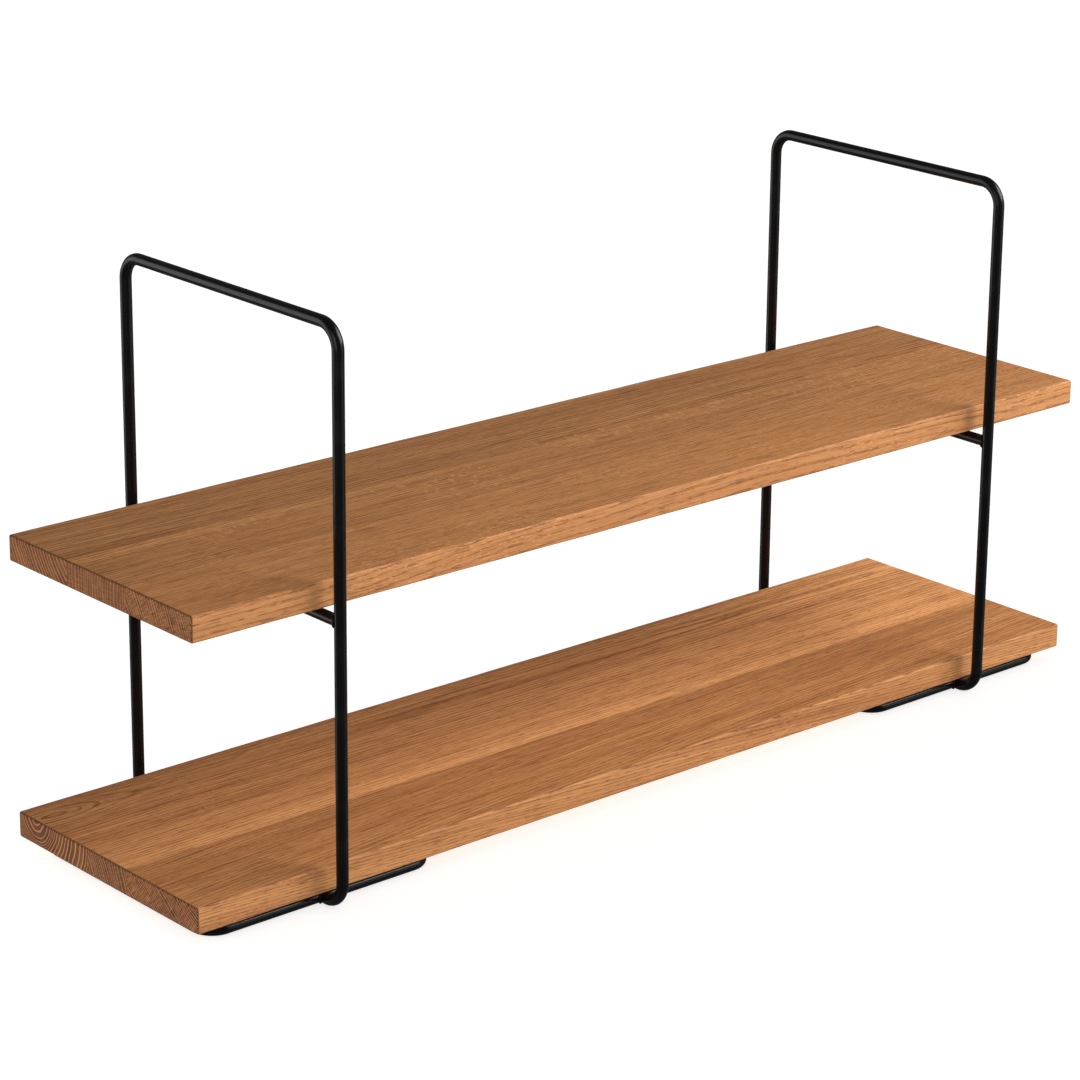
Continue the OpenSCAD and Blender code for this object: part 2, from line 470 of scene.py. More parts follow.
@dataclass(frozen=True)
class OakFinish:
    """Oiled oak, worked out through the whole thickness of one stave from where it lay in its tree.

    Attributes:
        pith_y: how far the tree's centre lies behind the stave's own centre at its left end, in mm.
        pith_z: how far the tree's centre lies above the stave's own centre at its left end, in mm.
        drift_y: how much further back the tree's centre lies at the right end, in mm.
        drift_z: how much higher the tree's centre lies at the right end, in mm.
        start_z: how much lower the tree's centre lies at the very left end than 90 mm in from it, in mm.
        ring: the width of one year's growth, in mm.
        tone: brightness of the stave beside its neighbours.
        warmth: how red the stave is beside its neighbours.
        contrast: how strongly the growth rings and streaks show on the faces.
        flecks: how clearly ray flecks show on the faces, from 0 to 1.
        end_arcs: how pale the growth rings show on the end grain, where 1 is strong.
        end_rays: how pale the rays show on the end grain, where 1 is strong.
        seed: moves every random pattern.
        knots: the stave's knots.
        streaks: its pale streaks.
        wave: how far its rings swell in and out along it, in mm.
    """

    pith_y: float
    pith_z: float
    drift_y: float
    drift_z: float
    start_z: float
    ring: float
    tone: float
    warmth: float
    contrast: float
    flecks: float
    end_arcs: float
    end_rays: float
    seed: float
    knots: tuple[Swelling, ...] = ()
    streaks: tuple[Swelling, ...] = ()
    wave: float = 1.5

    pale: Colour = (0.540, 0.262, 0.100)
    tan: Colour = (0.275, 0.105, 0.036)
    dark: Colour = (0.090, 0.028, 0.009)
    end_dark: Colour = (0.100, 0.030, 0.008)
    end_pale: Colour = (0.520, 0.225, 0.090)

    def material(self, name: str, low: np.ndarray, high: np.ndarray) -> bpy.types.Material:
        """Makes the stave's material.

        Args:
            name: the material's name.
            low: the stave's lowest corner, in metres.
            high: its highest corner.

        Returns:
            The material.
        """
        shader = Shader(name)
        x, y, z = shader.place_mm((low + high) / 2)
        half_length = (high[0] - low[0]) / 2 / MM
        shift = 37.0 * self.seed
        along = x / (2 * half_length) + 0.5

        sway = shader.swing(shader.vector(x / 420 + shift, 0.5, shift), detail=1.0)
        lift = shader.swing(shader.vector(x / 380 - shift, 4.5, 2.5), detail=1.0)
        settle = (x + half_length).step(0, 90) * self.start_z
        side = y - self.pith_y - along * self.drift_y + sway * 4.5
        rise = z - self.pith_z - along * self.drift_z + lift * 2.0 - settle
        bulge = shader.swing(shader.vector(x / 220 + shift, y / 26, z / 26), detail=1.0)
        ripple = shader.swing(shader.vector(x / 60 + shift, y / 6, z / 6))
        reach = (side * side + rise * rise).root() + bulge * self.wave + ripple * 0.22
        for knot in self.knots:
            reach = reach + knot.bell(x, y, z)
        far = max(20.0, math.hypot(self.pith_y, self.pith_z))
        turn = shader.maths("ARCTAN2", rise, side) * far
        pace = shader.swing(shader.vector(reach / (4 * self.ring), shift, 1.5))
        year = (reach / self.ring + pace * 0.55).fraction()
        spring = 1 - abs(year - 0.20).step(0.05, 0.20)

        pores = self.pores(shader, x, y, z, spring, shift)
        rays = self.rays(shader, x, turn, reach, shift)
        fibre = shader.swing(shader.vector(x / 30 - shift, y / 0.55, z / 0.55), detail=2.0, roughness=0.6)
        lines = shader.swing(shader.vector(x / 240 + shift, reach / 1.7, turn / 9), detail=3.0, roughness=0.7)
        bands = shader.swing(shader.vector(x / 420 - shift, reach / 9, turn / 26), detail=1.0)
        cloud = shader.swing(shader.vector(x / 260 + shift, y / 45, z / 45), detail=1.0)

        depth = 0.52 + (lines * 0.50 + bands * 0.26 + cloud * 0.10 + (spring - 0.30) * 0.30) * self.contrast
        for streak in self.streaks:
            depth = depth - streak.bell(x, y, z)
        colour = shader.mix(depth.clamped(), self.pale, self.tan)
        colour = shader.mix(pores * 0.62, colour, self.dark)
        colour = shader.mix(rays * (0.70 * self.flecks), colour, self.pale)
        colour = shader.scaled(colour, (1 + fibre * 0.19 + cloud * 0.05) * self.tone)

        end = abs(x).step(half_length - 1.4, half_length - 0.3)
        grit = shader.swing(shader.vector(reach / 0.7, turn / 0.7, shift), detail=2.0, roughness=0.7)
        sheet = shader.swing(shader.vector(turn / 0.8, reach / 9, shift), detail=1.0)
        end_light = (
            0.36
            + (spring - 0.25) * self.end_arcs
            + sheet * (0.35 * self.end_rays)
            + grit * 0.15
            + lines * 0.16
            + bands * 0.10
        )
        end_colour = shader.mix(end_light.clamped(), self.end_dark, self.end_pale)
        burnt = abs(abs(x) - half_length + 0.8).step(0.1, 1.0)
        end_colour = shader.scaled(end_colour, (1 + cloud * 0.10) * (0.40 + burnt * 0.60))
        colour = shader.mix(end, colour, end_colour)
        warm = (1.0 + 0.08 * self.warmth, 1.0, 1.0 - 0.12 * self.warmth)
        colour = shader.mix(1.0, colour, warm, blend="MULTIPLY")

        height = 0.5 + fibre * 0.10 + lines * 0.06 - pores * 0.45 + rays * 0.05
        rough = 0.54 + pores * 0.14 - rays * 0.06 + cloud * 0.03 + lines * 0.02 + end * 0.14
        return shader.finish(
            Base_Color=colour,
            Roughness=rough.clamped(),
            Normal=shader.bump(height, depth_mm=0.10, strength=0.7),
            Specular_IOR_Level=0.20,
        )

    def pores(
        self, shader: Shader, x: Signal, y: Signal, z: Signal, spring: Signal, shift: float
    ) -> Signal:
        """Open pores: noise stretched along the grain, kept where it is high, most of all in spring wood.

        Args:
            shader: the material.
            x: place along the grain, in mm.
            y: place across it.
            z: place through it.
            spring: 1 in spring wood.
            shift: the random shift.

        Returns:
            1 inside a pore.
        """
        fine = shader.noise(shader.vector(x / 9 + shift, y / 0.50, z / 0.50), detail=1.0, roughness=0.4)
        coarse = shader.noise(shader.vector(x / 22 - shift, y / 0.95, z / 0.95))
        edge = 0.63 - spring * 0.13
        return (fine.step(edge, edge + 0.09) + coarse.step(edge + 0.01, edge + 0.11) * 0.7).clamped()

    def rays(self, shader: Shader, x: Signal, turn: Signal, reach: Signal, shift: float) -> Signal:
        """Rays: thin plates that run out from the tree's centre, tall along the grain and thin across it.
        They show in patches.

        Args:
            shader: the material.
            x: place along the grain, in mm.
            turn: place round the tree, in mm.
            reach: distance from the tree's centre.
            shift: the random shift.

        Returns:
            1 inside a ray.
        """
        sheet = shader.vector(x / 4.5 + shift, turn / 0.6, reach / 14)
        plate = shader.noise(sheet, detail=1.0, roughness=0.4)
        patch = shader.noise(shader.vector(x / 90 - shift, turn / 30, reach / 30)).step(0.42, 0.60)
        return plate.step(0.58, 0.68) * (patch * 0.8 + 0.2)


@dataclass(frozen=True)
class CoatFinish:
    """Black powder coat, satin, with its fine orange peel.

    Attributes:
        colour: its colour.
        worn: its colour where hands have rubbed it.
        gloss_rough: roughness of the smooth coat.
        peel_mm: size of the orange peel.
        peel_depth: its depth in mm.
    """

    colour: Colour = (0.0022, 0.0022, 0.0024)
    worn: Colour = (0.0040, 0.0040, 0.0042)
    gloss_rough: float = 0.24
    peel_mm: float = 1.1
    peel_depth: float = 0.035

    def material(self, name: str) -> bpy.types.Material:
        """Makes the coat's material.

        Args:
            name: the material's name.

        Returns:
            The material.
        """
        shader = Shader(name)
        x, y, z = shader.place_mm()
        peel = shader.noise(
            shader.vector(x / self.peel_mm, y / self.peel_mm, z / self.peel_mm), detail=2.0, roughness=0.55
        )
        cloud = shader.noise(shader.vector(x / 28, y / 28, z / 28), detail=2.0)
        speck = shader.noise(shader.vector(x / 0.35, y / 0.35, z / 0.35)).step(0.70, 0.78)
        handled = cloud.step(0.52, 0.70)
        shade = shader.scaled(
            shader.mix(handled, self.colour, self.worn), 1 + (peel - 0.5) * 0.5 + speck * 0.8
        )
        rough = self.gloss_rough + (peel - 0.5) * 0.10 + handled * 0.07 + speck * 0.12
        return shader.finish(
            Base_Color=shade,
            Roughness=rough.clamped(),
            Normal=shader.bump(peel + speck * 0.2, depth_mm=self.peel_depth, strength=0.7),
            Specular_IOR_Level=0.22,
        )


@dataclass(frozen=True)
class NylonFinish:
    """Moulded black nylon with a spark-eroded matt skin.

    Attributes:
        colour: its colour.
        grit_mm: size of the matt skin's grit.
    """

    colour: Colour = (0.022, 0.022, 0.024)
    grit_mm: float = 0.35

    def material(self, name: str) -> bpy.types.Material:
        """Makes the nylon's material.

        Args:
            name: the material's name.

        Returns:
            The material.
        """
        shader = Shader(name)
        x, y, z = shader.place_mm()
        grit = shader.noise(shader.vector(x / self.grit_mm, y / self.grit_mm, z / self.grit_mm), detail=2.0)
        flow = shader.noise(shader.vector(x / 9, y / 5, z / 9), detail=2.0)
        shade = shader.scaled(
            shader.mix(flow.step(0.35, 0.75), self.colour, (0.034, 0.034, 0.037)), 0.9 + grit * 0.2
        )
        rough = 0.56 + (grit - 0.5) * 0.2 + (flow - 0.5) * 0.14
        return shader.finish(
            Base_Color=shade,
            Roughness=rough.clamped(),
            Normal=shader.bump(grit, depth_mm=0.03, strength=0.8),
        )


@dataclass(frozen=True)
class ZincFinish:
    """Black zinc plate on small screws, rubbed brighter here and there.

    Attributes:
        colour: the plated colour.
        rubbed: the colour where the plate is rubbed.
    """

    colour: Colour = (0.060, 0.060, 0.066)
    rubbed: Colour = (0.210, 0.205, 0.200)

    def material(self, name: str) -> bpy.types.Material:
        """Makes the zinc's material.

        Args:
            name: the material's name.

        Returns:
            The material.
        """
        shader = Shader(name)
        x, y, z = shader.place_mm()
        turned = shader.noise(shader.vector(x / 0.5, y / 0.5, z / 0.12), detail=2.0)
        patch = shader.noise(shader.vector(x / 1.6, y / 1.6, z / 1.6), detail=3.0).step(0.50, 0.74)
        return shader.finish(
            Base_Color=shader.mix(patch * 0.7, self.colour, self.rubbed),
            Roughness=(0.36 + (turned - 0.5) * 0.2 - patch * 0.06).clamped(),
            Metallic=0.9,
            Normal=shader.bump(turned, depth_mm=0.012, strength=0.7),
        )


@dataclass(frozen=True)
class FloorFinish:
    """A plain pale studio floor, lit a little from below.

    Attributes:
        colour: its colour.
        glow: how much light comes through it.
    """

    colour: Colour = (0.90, 0.90, 0.90)
    glow: float = 0.88

    def material(self, name: str) -> bpy.types.Material:
        """Makes the floor's material.

        Args:
            name: the material's name.

        Returns:
            The material.
        """
        shader = Shader(name)
        return shader.finish(
            Base_Color=self.colour,
            Roughness=0.9,
            Specular_IOR_Level=0.1,
            Emission_Color=self.colour,
            Emission_Strength=self.glow,
        )


# --------------------------------------------------------------------------------------------------
# Surfaces
# --------------------------------------------------------------------------------------------------


def signed_volume(points: np.ndarray, quads: np.ndarray) -> float:
    """Volume that quads enclose, negative when they face inwards: the sum of the tetrahedra to the origin.

    Args:
        points: one row a vertex.
        quads: one row of four vertices a face.

    Returns:
        The volume.
    """
    a, b, c, d = (points[quads[:, corner]] for corner in range(4))
    halves = np.einsum("ij,ij->i", a, np.cross(b, c)) + np.einsum("ij,ij->i", a, np.cross(c, d))
    return float(halves.sum() / 6)


def surface(
    name: str, grid: np.ndarray, closed_path: bool, crease: float | None = None
) -> bpy.types.Object:
    """A closed surface from rings of points: quads between neighbouring rings, and flat caps on an open path.

    Args:
        name: the piece's name.
        grid: points as (ring, place round the ring, xyz), in metres.
        closed_path: whether the last ring joins the first.
        crease: the angle in degrees above which an edge stays sharp, or None for smooth all over.

    Returns:
        The object, facing outwards.
    """
    rings, around = grid.shape[:2]
    points = grid.reshape(-1, 3)
    index = np.arange(rings * around).reshape(rings, around)
    here = index if closed_path else index[:-1]
    there = np.roll(index, -1, axis=0) if closed_path else index[1:]
    corners = [here, np.roll(here, -1, axis=1), np.roll(there, -1, axis=1), there]
    quads = np.stack(corners, axis=-1).reshape(-1, 4)
    inside_out = signed_volume(points - points.mean(axis=0), quads) < 0
    if inside_out:
        quads = quads[:, ::-1]
    faces = quads.tolist()
    if not closed_path:
        for cap in (index[0], index[-1][::-1]):
            faces.append((cap if inside_out else cap[::-1]).tolist())
    mesh = bpy.data.meshes.new(name)
    mesh.from_pydata(points.tolist(), [], faces)
    mesh.update()
    mesh.polygons.foreach_set("use_smooth", np.ones(len(mesh.polygons), dtype=bool))
    if crease is not None:
        mesh.set_sharp_from_angle(angle=math.radians(crease))
    made = bpy.data.objects.new(name, mesh)
    bpy.context.scene.collection.objects.link(made)
    return made


def dress(piece: bpy.types.Object, material: bpy.types.Material, slot: str, *nodes: str) -> None:
    """Gives a piece its material and its body, and hides the nodes that it stands for.

    Args:
        piece: the piece.
        material: its material.
        slot: not used.
        nodes: the nodes that it replaces.
    """
    piece.data.materials.clear()
    piece.data.materials.append(material)
    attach(piece, BODY)
    if nodes:
        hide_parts(*nodes)
    LOG.info("made %s: %d faces", piece.name, len(piece.data.polygons))


def node_box(node: str) -> tuple[np.ndarray, np.ndarray]:
    """A node's lowest and highest corners as arrays, in metres."""
    low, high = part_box(node)
    return np.array(low), np.array(high)


def spaced(start: float, end: float, count: int) -> np.ndarray:
    """Evenly spaced values without the last one, so that stretches join without doubling a point."""
    return np.linspace(start, end, count, endpoint=False)


# --------------------------------------------------------------------------------------------------
# Boards
# --------------------------------------------------------------------------------------------------


@dataclass(frozen=True)
class Stave:
    """One stave of a board.

    Attributes:
        node: its node.
        finish: its oak.
        front_outside: whether its front face is the board's own front.
        back_outside: whether its back face is the board's own back.
    """

    node: str
    finish: OakFinish
    front_outside: bool = False
    back_outside: bool = False


@dataclass
class Board:
    """A board glued up from staves, its outer edges eased by hand.

    Attributes:
        name: the board's name.
        staves: its staves.
        easing: radius of the eased edges, in metres.
        easing_play: how much the radius wanders along the board, as a share.
        least_easing: the eased radius where the end draws it in, in metres.
        seam_easing: the radius left along the glue lines, in metres.
        stations: rings along the length.
        seed: moves the wandering.
    """

    name: str
    staves: tuple[Stave, ...]
    easing: float = 1.45 * MM
    easing_play: float = 0.22
    least_easing: float = 0.04 * MM
    seam_easing: float = 0.03 * MM
    stations: int = 160
    seed: float = 0.0

    def build(self) -> None:
        """Builds every stave."""
        LOG.info("making the %s board from %d staves", self.name, len(self.staves))
        for stave in self.staves:
            low, high = node_box(stave.node)
            piece = surface(f"{stave.node}_oak", self.shape(stave, low, high), closed_path=False, crease=38)
            weigh = piece.modifiers.new("Weighted", "WEIGHTED_NORMAL")
            weigh.keep_sharp = True
            material = stave.finish.material(f"{stave.node}_oak", low, high)
            dress(piece, material, f"{stave.node}_oak", stave.node)

    def shape(self, stave: Stave, low: np.ndarray, high: np.ndarray) -> np.ndarray:
        """A stave as rings along X: each ring is a rectangle with its outer corners rounded, and the end
        rings draw in along a quarter circle, so the ends are eased too.

        Args:
            stave: the stave.
            low: its lowest corner.
            high: its highest corner.

        Returns:
            Points as (ring, place round the ring, xyz).
        """
        bend = np.linspace(0, math.pi / 2, 7)
        draw_in = self.easing * (1 - np.sin(bend))
        end_x = self.easing * (1 - np.cos(bend))
        middle = np.linspace(low[0] + self.easing, high[0] - self.easing, self.stations)[1:-1]
        x = np.concatenate([low[0] + end_x, middle, (high[0] - end_x)[::-1]])
        inset = np.concatenate([draw_in, np.zeros(len(middle)), draw_in[::-1]])
        radius = np.maximum(self.easing - inset, self.least_easing) * self.wandering(x)
        seam = np.full_like(radius, self.seam_easing)
        front = radius if stave.front_outside else seam
        back = radius if stave.back_outside else seam
        ring = self.ring(
            low[1] + inset * stave.front_outside,
            high[1] - inset * stave.back_outside,
            low[2] + inset,
            high[2] - inset,
            front,
            back,
        )
        along = np.broadcast_to(x[:, None, None], (*ring.shape[:2], 1))
        return np.concatenate([along, ring], axis=-1)

    def wandering(self, x: np.ndarray) -> np.ndarray:
        """The eased radius as a share of its mean: 1 plus three sines of unrelated lengths."""
        waves = np.sin(x * 19 + self.seed) + np.sin(x * 47 + 2 * self.seed) + np.sin(x * 83 + 5 * self.seed)
        return 1 + self.easing_play * waves / 3

    def ring(
        self,
        y0: np.ndarray,
        y1: np.ndarray,
        z0: np.ndarray,
        z1: np.ndarray,
        front: np.ndarray,
        back: np.ndarray,
    ) -> np.ndarray:
        """Rounded rectangles, one a station: four quarter circles joined by straight sides.

        Args:
            y0: the front face's place at each station.
            y1: the back face's.
            z0: the underside's.
            z1: the top's.
            front: corner radius along the front.
            back: corner radius along the back.

        Returns:
            Points as (station, place round the ring, yz).
        """
        arc = np.linspace(0, math.pi / 2, 6)
        corners = [
            (y1 - back, z1 - back, back, 0.0),
            (y0 + front, z1 - front, front, 0.5),
            (y0 + front, z0 + front, front, 1.0),
            (y1 - back, z0 + back, back, 1.5),
        ]
        stretches = []
        for number, (cy, cz, r, start) in enumerate(corners):
            angle = arc + start * math.pi
            turn = np.stack(
                [cy[:, None] + r[:, None] * np.cos(angle), cz[:, None] + r[:, None] * np.sin(angle)], axis=-1
            )
            stretches.append(turn)
            ny, nz, nr, nstart = corners[(number + 1) % 4]
            to = np.stack(
                [ny + nr * math.cos(nstart * math.pi), nz + nr * math.sin(nstart * math.pi)], axis=-1
            )
            steps = 8 if number % 2 == 0 else 3
            share = np.linspace(0, 1, steps + 1)[1:-1][None, :, None]
            stretches.append(turn[:, -1:, :] * (1 - share) + to[:, None, :] * share)
        return np.concatenate(stretches, axis=1)


# --------------------------------------------------------------------------------------------------
# Brackets
# --------------------------------------------------------------------------------------------------


@dataclass
class Route:
    """A flat centreline with the two directions that a rod's section is drawn in.

    Attributes:
        points: points along it.
        outward: the direction in the route's plane, away from its middle, at each point.
        square: the direction square to the plane.
        bend: 1 in the bends and 0 on the straights, at each point.
    """

    points: np.ndarray
    outward: np.ndarray
    square: np.ndarray
    bend: np.ndarray

    def tube(self, radius: float, around: int = 28) -> np.ndarray:
        """A round rod along the route, pressed very slightly flat in its bends.

        Args:
            radius: the rod's radius.
            around: points round the section.

        Returns:
            Points as (ring, place round the ring, xyz).
        """
        angle = spaced(0, 2 * math.pi, around)
        wide = radius * (1 - 0.02 * self.bend)[:, None, None]
        high = radius * (1 + 0.012 * self.bend)[:, None, None]
        across = self.outward[:, None, :] * np.cos(angle)[None, :, None] * wide
        upward = self.square[None, None, :] * np.sin(angle)[None, :, None] * high
        return self.points[:, None, :] + across + upward


def rounded_route(
    half_u: float,
    half_v: float,
    bend_r: float,
    u: np.ndarray,
    v: np.ndarray,
    centre: np.ndarray,
    quarters: int = 4,
) -> Route:
    """A rectangle with round corners, or the two-cornered U that is its half with positive u.

    Args:
        half_u: half its size along u, on the centreline.
        half_v: half its size along v.
        bend_r: radius of its bends.
        u: first direction.
        v: second direction.
        centre: its centre.
        quarters: 4 for the closed rectangle, 2 for the U.

    Returns:
        The route.
    """
    straight_steps = 40
    bend_steps = 18
    flat_u, flat_v = half_u - bend_r, half_v - bend_r
    starts = [(-1, -1), (1, -1), (1, 1), (-1, 1)]
    places, outs, bends = [], [], []
    for number in range(4):
        angle0 = (number - 1) * math.pi / 2
        corner_from = np.array(starts[number]) * (flat_u, flat_v)
        corner_to = np.array(starts[(number + 1) % 4]) * (flat_u, flat_v)
        out = np.array([math.cos(angle0), math.sin(angle0)])
        share = spaced(0, 1, straight_steps)[:, None]
        places.append(corner_from * (1 - share) + corner_to * share + out * bend_r)
        outs.append(np.broadcast_to(out, (straight_steps, 2)))
        bends.append(np.zeros(straight_steps))
        angle = spaced(angle0, angle0 + math.pi / 2, bend_steps)
        ray = np.stack([np.cos(angle), np.sin(angle)], axis=-1)
        places.append(corner_to + ray * bend_r)
        outs.append(ray)
        bends.append(np.sin(np.linspace(0, math.pi, bend_steps)) ** 0.5)
    flat, out, bend = np.concatenate(places), np.concatenate(outs), np.concatenate(bends)
    if quarters == 2:
        first = straight_steps // 2
        last = 2 * (straight_steps + bend_steps) + straight_steps // 2 + 1
        flat, out, bend = flat[first:last], out[first:last], bend[first:last]
    basis = np.stack([u, v])
    return Route(centre + flat @ basis, out @ basis, np.cross(u, v), bend)


@dataclass
class Bracket:
    """One bracket: a hoop of round rod with a cross rod, two feet, its welds and its wall plate.

    Attributes:
        side: which bracket it is.
        coat: the material of its rods.
        weld_coat: the material of its welds.
        plate_coat: the material of its wall plate.
        hoop_bend_r: centreline radius of the hoop's bends, in metres.
        foot_bend_r: centreline radius of the feet's bends.
        bite: how far a butted rod's end goes into the rod that it meets.
        bead: greatest thickness of the beads between rods.
        bead_lift: how far the beads stay above the hoop's lowest point.
        stitch: greatest thickness of the stitches on the wall plate.
        plate_easing: width of the wall plate's eased edges.
    """

    side: Side
    coat: bpy.types.Material
    weld_coat: bpy.types.Material
    plate_coat: bpy.types.Material
    hoop_bend_r: float = 16 * MM
    foot_bend_r: float = 14 * MM
    bite: float = 0.05 * MM
    bead: float = 1.00 * MM
    bead_lift: float = 0.05 * MM
    stitch: float = 1.25 * MM
    plate_easing: float = 0.35 * MM

    def __post_init__(self) -> None:
        """Reads the bracket's sizes from the frame."""
        self.name = self.side.name.lower()
        self.low, self.high = node_box(f"{self.name}_hoop")
        cross_low, cross_high = node_box(f"{self.name}_cross_rod")
        self.rod_r = float(self.high[0] - self.low[0]) / 2
        self.plane_x = float(self.high[0] + self.low[0]) / 2
        self.cross_z = float(cross_low[2] + cross_high[2]) / 2
        self.upright_y = float(self.high[1]) - self.rod_r
        self.foot_z = float(self.low[2]) + self.rod_r

    def build(self) -> None:
        """Builds every piece of the bracket."""
        self.build_hoop()
        self.build_cross_rod()
        for way in Way:
            self.build_foot(way)
        self.build_welds()
        plate = eased_copy(f"{self.name}_wall_plate", self.plate_easing)
        dress(plate, self.plate_coat, "coated_plate", f"{self.name}_wall_plate")

    def build_hoop(self) -> None:
        """Builds the closed hoop."""
        centre = (self.low + self.high) / 2
        half = (self.high - self.low) / 2 - self.rod_r
        u, v = np.array([0, 1.0, 0]), np.array([0, 0, 1.0])
        route = rounded_route(half[1], half[2], self.hoop_bend_r, u, v, centre)
        piece = surface(f"{self.name}_hoop_rod", route.tube(self.rod_r), closed_path=True)
        dress(piece, self.coat, "coated_rod", f"{self.name}_hoop")

    def build_cross_rod(self) -> None:
        """Builds the rod under the upper board: a straight rod whose ends are hollowed to fit the uprights.
        A line along it at x ends at the upright's axis, less the root of the radius squared less x squared.
        """
        angle = spaced(0, 2 * math.pi, 28)
        x = self.rod_r * np.cos(angle)
        z = self.rod_r * np.sin(angle)
        end = self.upright_y - np.sqrt(np.maximum(self.rod_r**2 - x**2, 0)) + self.bite
        share = np.linspace(-1, 1, 60)[:, None]
        shape = np.broadcast_shapes(share.shape, end[None, :].shape)
        grid = np.stack(
            [np.broadcast_to(self.plane_x + x, shape), share * end, np.broadcast_to(self.cross_z + z, shape)],
            axis=-1,
        )
        piece = surface(f"{self.name}_cross_rod_bar", grid, closed_path=False, crease=60)
        dress(piece, self.coat, "coated_rod", f"{self.name}_cross_rod")

    def build_foot(self, way: Way) -> None:
        """Builds one U-shaped foot, its ends hollowed to fit the hoop's bottom run.

        Args:
            way: whether it reaches outwards or inwards.
        """
        node = f"{self.name}_{way.name.lower()}_foot"
        low, high = node_box(node)
        sign = float(way.value * self.side.value)
        reach = float(max(self.plane_x - low[0], high[0] - self.plane_x)) - self.rod_r
        half_y = float(high[1] - low[1]) / 2 - self.rod_r
        centre = np.array([self.plane_x, 0.0, self.foot_z])
        u, v = np.array([sign, 0.0, 0.0]), np.array([0, 1.0, 0])
        route = rounded_route(reach, half_y, self.foot_bend_r, u, v, centre, quarters=2)
        grid = route.tube(self.rod_r)
        rise = grid[:, :, 2] - self.foot_z
        hollow = np.sqrt(np.maximum(self.rod_r**2 - rise**2, 0)) - self.bite
        away = (grid[:, :, 0] - self.plane_x) * sign
        grid[:, :, 0] = self.plane_x + sign * np.maximum(away, hollow)
        piece = surface(f"{node}_rod", self.trimmed(grid, sign), closed_path=False, crease=60)
        dress(piece, self.coat, "coated_rod", node)

    def trimmed(self, grid: np.ndarray, sign: float) -> np.ndarray:
        """Drops the rings that the hoop's rod swallows whole, keeping one at each end.

        Args:
            grid: the foot's rings.
            sign: the way that the foot reaches, 1 or -1 along X.

        Returns:
            The rings that show, and one more at each end.
        """
        away = (grid[:, :, 0] - self.plane_x) * sign
        kept = np.flatnonzero(away.min(axis=1) > 1.02 * self.rod_r)
        return grid[kept[0] - 1 : kept[-1] + 2]

    def build_welds(self) -> None:
        """Builds the weld beads as one piece."""
        beads = []
        for back in (-1.0, 1.0):
            corner = np.array([self.plane_x, back * self.upright_y, self.cross_z])
            beads.append(self.ring_bead(corner, np.array([0, -back, 0]), np.array([0, 0, 1.0])))
        _, foot_high = node_box(f"{self.name}_outer_foot")
        foot_y = float(foot_high[1]) - self.rod_r
        for back in (-1.0, 1.0):
            for sign in (-1.0, 1.0):
                corner = np.array([self.plane_x, back * foot_y, self.foot_z])
                beads.append(self.ring_bead(corner, np.array([sign, 0, 0]), np.array([0, 1.0, 0])))
        pieces = [
            surface(f"bead_{number}", bead, closed_path=True) for number, bead in enumerate(beads)
        ]
        pieces += self.stitches()
        whole = joined(f"{self.name}_weld_beads", pieces)
        dress(whole, self.weld_coat, "coated_weld", f"{self.name}_bracket_welds")

    def ring_bead(self, corner: np.ndarray, branch: np.ndarray, through: np.ndarray) -> np.ndarray:
        """A weld bead round the foot of a rod that butts against another. Its centreline goes round the
        branch rod and rides up the through rod: at each angle round the branch, it lies at the root of the
        radius squared less part of the offset squared. Its thickness ripples as the torch moved.

        Args:
            corner: where the two centrelines meet.
            branch: the branch rod's direction, away from the through rod.
            through: the through rod's direction.

        Returns:
            Points as (ring, place round the ring, xyz).
        """
        across = np.cross(branch, through)
        turn = spaced(0, 2 * math.pi, 84)
        ripple = 1 + 0.07 * np.sin(19 * turn + 31 * corner[1])
        thick = self.bead * (0.80 + 0.20 * np.abs(np.sin(turn))) * ripple
        rim = self.rod_r + 0.15 * thick
        offset = rim * np.cos(turn)
        along = np.sqrt(self.rod_r**2 - 0.80 * (self.rod_r * np.cos(turn)) ** 2) + 0.15 * thick
        rise = rim * np.sin(turn)
        path = corner + along[:, None] * branch + offset[:, None] * across + rise[:, None] * through
        outward = np.cos(turn)[:, None] * across + np.sin(turn)[:, None] * through
        tangent = np.roll(path, -1, axis=0) - np.roll(path, 1, axis=0)
        tangent /= np.linalg.norm(tangent, axis=1, keepdims=True)
        outward = outward - (outward * tangent).sum(axis=1, keepdims=True) * tangent
        outward /= np.linalg.norm(outward, axis=1, keepdims=True)
        third = np.cross(tangent, outward)
        angle = spaced(0, 2 * math.pi, 14)
        cosine, sine = np.cos(angle)[None, :, None], np.sin(angle)[None, :, None]
        section = outward[:, None, :] * cosine + third[:, None, :] * sine
        grid = path[:, None, :] + section * thick[:, None, None]
        grid[:, :, 2] = np.maximum(grid[:, :, 2], self.low[2] + self.bead_lift)
        return grid

